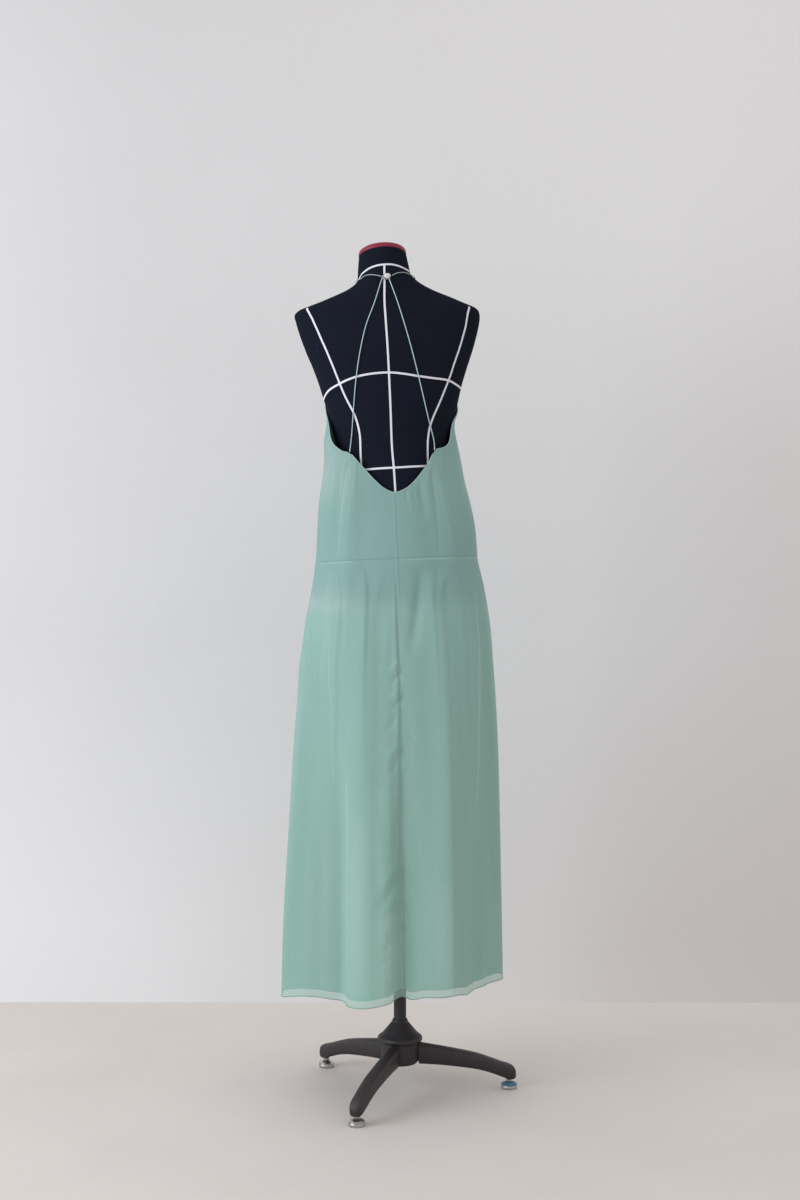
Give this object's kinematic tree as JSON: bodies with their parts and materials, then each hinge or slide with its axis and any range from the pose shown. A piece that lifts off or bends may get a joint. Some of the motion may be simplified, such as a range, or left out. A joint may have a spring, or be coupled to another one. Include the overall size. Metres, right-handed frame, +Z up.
{
  "type": "slip dress on a dress form with a tripod stand",
  "caption": "Long sleeveless slip dress with a low V back, thin halter straps and a gently flared skirt, on a padded dress form that stands on a footed tripod",
  "frame": {"origin": "middle of the footprint, on the floor under the three feet", "axes": "+Z up along the stand; the dress faces -Y and its back is towards +Y; +X is the wearer's left"},
  "size_m": [0.4791, 0.4394, 1.715],
  "materials": {
    "dress_cloth": "matt sheer crepe",
    "form_cover": "matt knitted jersey",
    "neck_cap": "satin",
    "button": "pearl",
    "stand_paint": "satin black",
    "feet": "polished"
  },
  "bodies": {
    "root": {"binding_armhole_left": "dress_cloth", "binding_armhole_right": "dress_cloth", "binding_back_neck": "dress_cloth", "binding_front_neck": "dress_cloth", "bodice_back_left": "dress_cloth", "bodice_back_right": "dress_cloth", "bodice_front": "dress_cloth", "form_body": "form_cover", "form_neck_cap": "neck_cap", "halter_left": "dress_cloth", "halter_right": "dress_cloth", "neck_button": "button", "skirt_back_left": "dress_cloth", "skirt_back_right": "dress_cloth", "skirt_front": "dress_cloth", "skirt_lining_hem": "dress_cloth", "stand_foot_far": "feet", "stand_foot_near": "feet", "stand_foot_right": "feet", "stand_hub": "stand_paint", "stand_leg_far": "stand_paint", "stand_leg_near": "stand_paint", "stand_leg_right": "stand_paint", "stand_pole": "stand_paint", "strap_back_left": "dress_cloth", "strap_back_right": "dress_cloth"}
  },
  "joints": []
}
